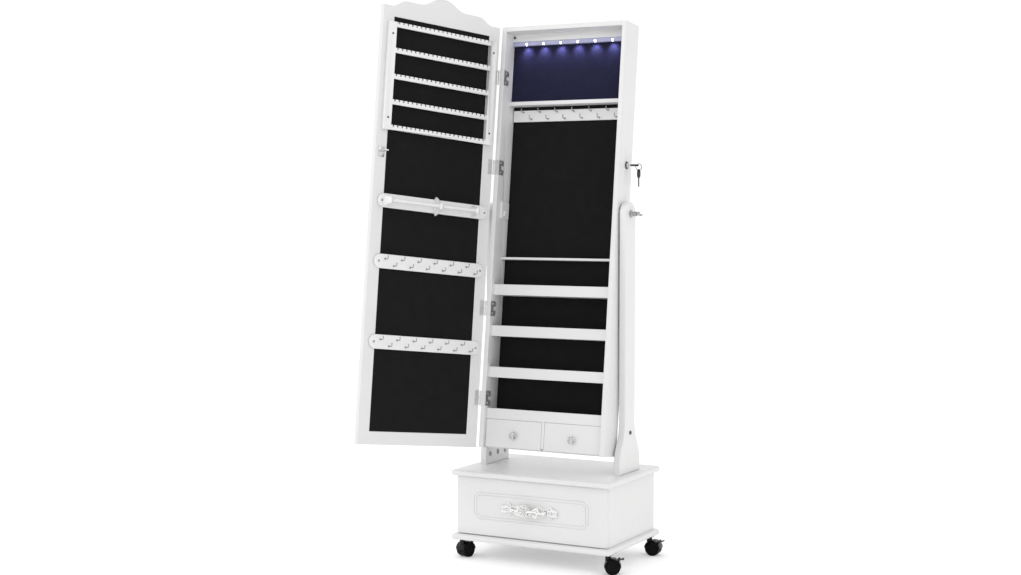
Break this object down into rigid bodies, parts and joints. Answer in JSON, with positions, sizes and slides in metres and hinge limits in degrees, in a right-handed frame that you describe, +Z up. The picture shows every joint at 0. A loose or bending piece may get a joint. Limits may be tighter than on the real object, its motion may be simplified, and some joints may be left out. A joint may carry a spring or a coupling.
{
  "type": "jewelry armoire",
  "caption": "Free-standing lined jewelry cabinet with a mirrored, hinged door, tilting between two uprights on a wheeled base with a drawer.",
  "frame": {"origin": "on the floor, under the middle of the base", "axes": "+Z up, +X to the right of someone facing the front, +Y to the back; rest stance has the cabinet leaning back 6.85 degrees and the door open 116 degrees"},
  "size_m": [0.5997, 0.5748, 1.4316],
  "materials": {
    "white_wood": "satin white paint on fibreboard",
    "drawer_wood": "pale sealed board",
    "velvet": "short black velvet on board",
    "mirror": "silvered glass",
    "pull_metal": "antique white cast metal",
    "black_plastic": "moulded",
    "black_metal": "dark oxide",
    "bright_steel": "nickel plated",
    "key_black": "black coated",
    "crystal": "faceted clear",
    "lamp": "milky light bar",
    "sensor": "dark eye"
  },
  "bodies": {
    "base": {"base_top_board": "white_wood", "base_bottom_board": "white_wood", "base_walls": "white_wood", "drawer_runners": "drawer_wood", "caster_sockets": "bright_steel", "upright_left": "white_wood", "upright_right": "white_wood", "upright_fasteners": "black_metal"},
    "base_drawer": {"base_drawer_front": "white_wood", "base_drawer_box": "drawer_wood", "base_drawer_pull": "pull_metal"},
    "caster_front_right": {"caster_front_right_hood": "black_plastic"},
    "wheels_front_right": {"caster_front_right_wheels": "black_plastic"},
    "brake_front_right": {"caster_front_right_brake": "black_plastic"},
    "caster_back_right": {"caster_back_right_hood": "black_plastic"},
    "wheels_back_right": {"caster_back_right_wheels": "black_plastic"},
    "brake_back_right": {"caster_back_right_brake": "black_plastic"},
    "caster_front_left": {"caster_front_left_hood": "black_plastic"},
    "wheels_front_left": {"caster_front_left_wheels": "black_plastic"},
    "brake_front_left": {"caster_front_left_brake": "black_plastic"},
    "caster_back_left": {"caster_back_left_hood": "black_plastic"},
    "wheels_back_left": {"caster_back_left_wheels": "black_plastic"},
    "brake_back_left": {"caster_back_left_brake": "black_plastic"},
    "cabinet": {"cabinet_side_left": "white_wood", "cabinet_side_right": "white_wood", "cabinet_top": "white_wood", "cabinet_floor": "white_wood", "cabinet_back": "white_wood", "velvet_lining": "velvet", "light_cornice": "white_wood", "light_strip": "lamp", "light_sensor": "sensor", "battery_box": "black_plastic", "cabinet_rails": "white_wood", "hook_strip": "white_wood", "cabinet_hooks": "bright_steel", "lipped_shelves": "white_wood", "drawer_divider": "white_wood", "pivot_fittings": "black_metal", "lock_housing": "bright_steel", "hinge_cabinet_leaves": "bright_steel"},
    "door": {"door_frame": "white_wood", "door_core": "white_wood", "door_mirror": "mirror", "door_velvet": "velvet", "earring_rack": "white_wood", "bracelet_bar": "white_wood", "hook_plates": "white_wood", "door_hooks": "bright_steel", "fitting_screws": "black_metal", "lock_strike": "bright_steel", "hinge_door_leaves": "bright_steel"},
    "small_drawer_left": {"small_drawer_left": "white_wood", "small_knob_left": "crystal"},
    "tilt_knob_left": {"tilt_knob_left": "black_plastic"},
    "small_drawer_right": {"small_drawer_right": "white_wood", "small_knob_right": "crystal"},
    "tilt_knob_right": {"tilt_knob_right": "black_plastic"},
    "lock_cylinder": {"lock_key": "key_black"},
    "spare_key": {"spare_key": "key_black"}
  },
  "joints": [
    {"name": "base_drawer_slide", "type": "slide", "parent": "base", "child": "base_drawer", "axis": [0, -1, 0], "range_m": [0, 0.19]},
    {"name": "swivel_front_right", "type": "hinge", "parent": "base", "child": "caster_front_right", "pos_m": [0.207, -0.127, 0.047], "axis": [0, 0, 1], "continuous": true},
    {"name": "roll_front_right", "type": "hinge", "parent": "caster_front_right", "child": "wheels_front_right", "pos_m": [0.21697, -0.12235, 0.019], "axis": [-0.4226, 0.9063, 0], "continuous": true},
    {"name": "brake_front_right", "type": "hinge", "parent": "caster_front_right", "child": "brake_front_right", "pos_m": [0.23177, -0.11545, 0.03713], "axis": [-0.4226, 0.9063, 0], "range_deg": [0, 22]},
    {"name": "swivel_back_right", "type": "hinge", "parent": "base", "child": "caster_back_right", "pos_m": [0.207, 0.127, 0.047], "axis": [0, 0, 1], "continuous": true},
    {"name": "roll_back_right", "type": "hinge", "parent": "caster_back_right", "child": "wheels_back_right", "pos_m": [0.21796, 0.12796, 0.019], "axis": [-0.0872, 0.9962, 0], "continuous": true},
    {"name": "brake_back_right", "type": "hinge", "parent": "caster_back_right", "child": "brake_back_right", "pos_m": [0.23422, 0.12938, 0.03713], "axis": [-0.0872, 0.9962, 0], "range_deg": [0, 22]},
    {"name": "swivel_front_left", "type": "hinge", "parent": "base", "child": "caster_front_left", "pos_m": [-0.207, -0.127, 0.047], "axis": [0, 0, 1], "continuous": true},
    {"name": "roll_front_left", "type": "hinge", "parent": "caster_front_left", "child": "wheels_front_left", "pos_m": [-0.20324, -0.11666, 0.019], "axis": [-0.9397, 0.342, 0], "continuous": true},
    {"name": "brake_front_left", "type": "hinge", "parent": "caster_front_left", "child": "brake_front_left", "pos_m": [-0.19765, -0.10132, 0.03713], "axis": [-0.9397, 0.342, 0], "range_deg": [0, 22]},
    {"name": "swivel_back_left", "type": "hinge", "parent": "base", "child": "caster_back_left", "pos_m": [-0.207, 0.127, 0.047], "axis": [0, 0, 1], "continuous": true},
    {"name": "roll_back_left", "type": "hinge", "parent": "caster_back_left", "child": "wheels_back_left", "pos_m": [-0.19857, 0.13407, 0.019], "axis": [-0.6428, 0.766, 0], "continuous": true},
    {"name": "brake_back_left", "type": "hinge", "parent": "caster_back_left", "child": "brake_back_left", "pos_m": [-0.18607, 0.14456, 0.03713], "axis": [-0.6428, 0.766, 0], "range_deg": [0, 22]},
    {"name": "cabinet_tilt", "type": "hinge", "parent": "base", "child": "cabinet", "pos_m": [0, 0.017, 0.885], "axis": [-1, 0, 0], "range_deg": [-3.85, 8.15]},
    {"name": "tilt_knob_turn_left", "type": "hinge", "parent": "cabinet", "child": "tilt_knob_left", "pos_m": [-0.205, 0.017, 0.885], "axis": [1, 0, 0], "range_deg": [0, 360]},
    {"name": "tilt_knob_turn_right", "type": "hinge", "parent": "cabinet", "child": "tilt_knob_right", "pos_m": [0.205, 0.017, 0.885], "axis": [1, 0, 0], "range_deg": [0, 360]},
    {"name": "door_hinge", "type": "hinge", "parent": "cabinet", "child": "door", "pos_m": [-0.18, -0.02321, 0.88983], "axis": [0, -0.1193, -0.9929], "range_deg": [-116, 9]},
    {"name": "small_drawer_slide_left", "type": "slide", "parent": "cabinet", "child": "small_drawer_left", "axis": [0, -0.9929, 0.1193], "range_m": [0, 0.036]},
    {"name": "small_drawer_slide_right", "type": "slide", "parent": "cabinet", "child": "small_drawer_right", "axis": [0, -0.9929, 0.1193], "range_m": [0, 0.036]},
    {"name": "lock_turn", "type": "hinge", "parent": "cabinet", "child": "lock_cylinder", "pos_m": [0.18, 0.03874, 1.00728], "axis": [1, 0, 0], "range_deg": [0, 90]},
    {"name": "spare_key_swing", "type": "hinge", "parent": "lock_cylinder", "child": "spare_key", "pos_m": [0.206, 0.03874, 1.00728], "axis": [-1, 0, 0], "range_deg": [-20, 20]}
  ]
}
